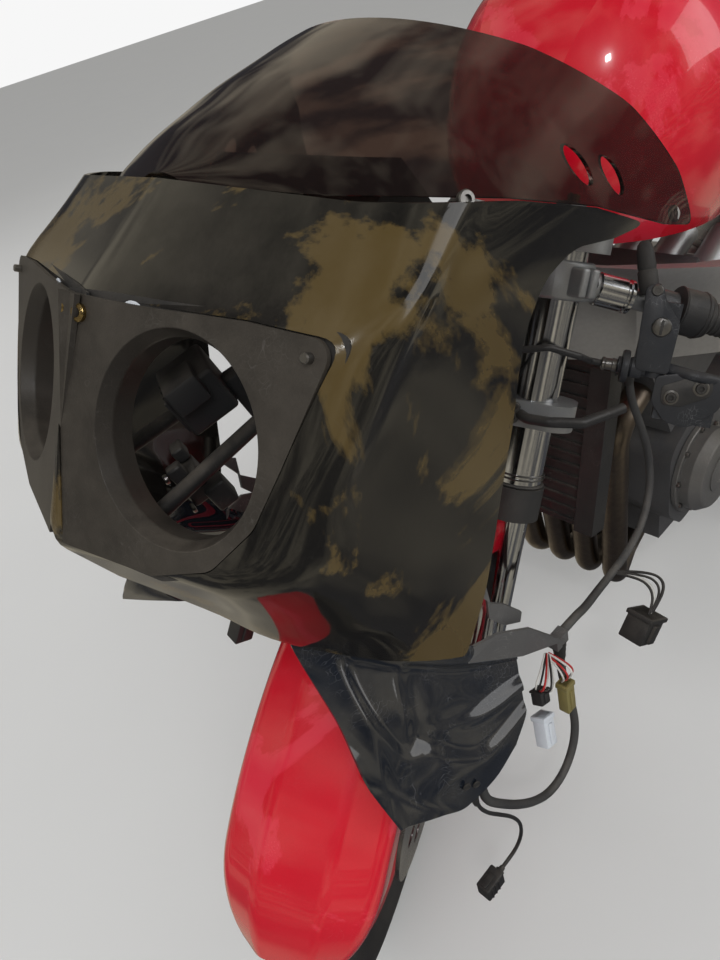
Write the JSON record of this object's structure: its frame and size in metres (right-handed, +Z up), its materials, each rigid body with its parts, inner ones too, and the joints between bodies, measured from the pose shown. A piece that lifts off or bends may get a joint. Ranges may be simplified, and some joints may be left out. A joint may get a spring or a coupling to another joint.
{
  "type": "half-faired sport motorcycle",
  "caption": "Half-faired sport motorcycle on its centre stand, bars turned left, twin empty round lamp openings, bare engine bay, smoked screen and red tank.",
  "frame": {"origin": "on the floor below the middle of the machine, in its plane of symmetry", "axes": "+X forward, +Y to the machine's left, +Z up"},
  "size_m": [2.0754, 0.7183, 1.0806],
  "materials": {
    "polished_tube": "polished fork tube",
    "chrome_slider": "hard chrome and machined lugs",
    "black_rubber": "soft rubber",
    "cast_alloy": "cast alloy, satin",
    "brake_grey": "grey hard coat",
    "red_paint": "gloss red paint",
    "steel": "plain steel",
    "black_alloy": "black coated alloy",
    "black_plastic": "black moulding",
    "tyre": "road tyre rubber",
    "red_rim": "red cast wheel",
    "disc_steel": "stainless disc",
    "black_steel": "black coated steel",
    "engine_alloy": "cast engine alloy",
    "brushed_can": "brushed silencer sleeve",
    "seat_vinyl": "black seat cover",
    "lamp_red": "red lens",
    "panel_grey": "satin dark grey moulding",
    "black_gloss": "gloss black bodywork",
    "smoked_screen": "smoked brown acrylic"
  },
  "bodies": {
    "chassis": {"axle_and_pivots": "steel", "carburettors": "engine_alloy", "cowl_brackets": "brake_grey", "cowl_stay": "black_steel", "crankcase": "engine_alloy", "cylinder_block": "engine_alloy", "cylinder_head": "engine_alloy", "drive_chain": "steel", "engine_covers": "engine_alloy", "exhaust_pipes": "steel", "fairing_cowl": "black_gloss", "footrests": "black_alloy", "frame": "cast_alloy", "fuel_tank": "red_paint", "harness_lower": "black_rubber", "harness_upper": "black_rubber", "instruments": "black_plastic", "lamp_panel": "panel_grey", "lead_plug": "black_plastic", "lower_ducts": "black_gloss", "radiator": "black_steel", "rear_caliper": "brake_grey", "rear_lamp": "lamp_red", "rear_mudguard": "black_plastic", "rear_shock": "black_steel", "seat": "seat_vinyl", "seat_subframe": "black_steel", "silencer": "brushed_can", "swingarm": "cast_alloy", "tail_cowl": "red_paint", "tank_cap": "black_alloy", "thin_lead": "black_rubber", "windscreen": "smoked_screen"},
    "steering": {"fork_outer_tubes": "polished_tube", "fork_sliders": "chrome_slider", "fork_seal_collars": "black_rubber", "lower_yoke": "cast_alloy", "top_yoke": "cast_alloy", "clip_on_bars": "cast_alloy", "grips": "black_rubber", "front_calipers": "brake_grey", "front_mudguard": "red_paint", "front_axle": "steel", "clutch_lever": "black_alloy", "brake_lever": "black_alloy", "switch_housings": "black_plastic", "control_cables": "black_rubber"},
    "front_wheel": {"front_tyre": "tyre", "front_rim": "red_rim", "front_discs": "disc_steel"},
    "rear_wheel": {"rear_tyre": "tyre", "rear_rim": "red_rim", "rear_disc": "disc_steel", "rear_sprocket": "steel"},
    "centre_stand": {"centre_stand": "black_steel"},
    "side_stand": {"side_stand": "black_steel"}
  },
  "joints": [
    {"name": "steering_turn", "type": "hinge", "parent": "chassis", "child": "steering", "pos_m": [0.71508, 0, 0.28093], "axis": [-0.454, 0, 0.891], "range_deg": [-55, 0]},
    {"name": "front_wheel_spin", "type": "hinge", "parent": "steering", "child": "front_wheel", "pos_m": [0.74827, 0.01939, 0.29785], "axis": [-0.4114, 0.887, -0.2096], "continuous": true},
    {"name": "rear_wheel_spin", "type": "hinge", "parent": "chassis", "child": "rear_wheel", "pos_m": [-0.7175, 0, 0.33], "axis": [0, 1, 0], "continuous": true},
    {"name": "centre_stand_fold", "type": "hinge", "parent": "chassis", "child": "centre_stand", "pos_m": [-0.235, 0, 0.262], "axis": [0, 1, 0], "range_deg": [0, 68]},
    {"name": "side_stand_fold", "type": "hinge", "parent": "chassis", "child": "side_stand", "pos_m": [-0.074, 0.172, 0.222], "axis": [0, -0.9042, -0.4271], "range_deg": [0, 98]}
  ]
}
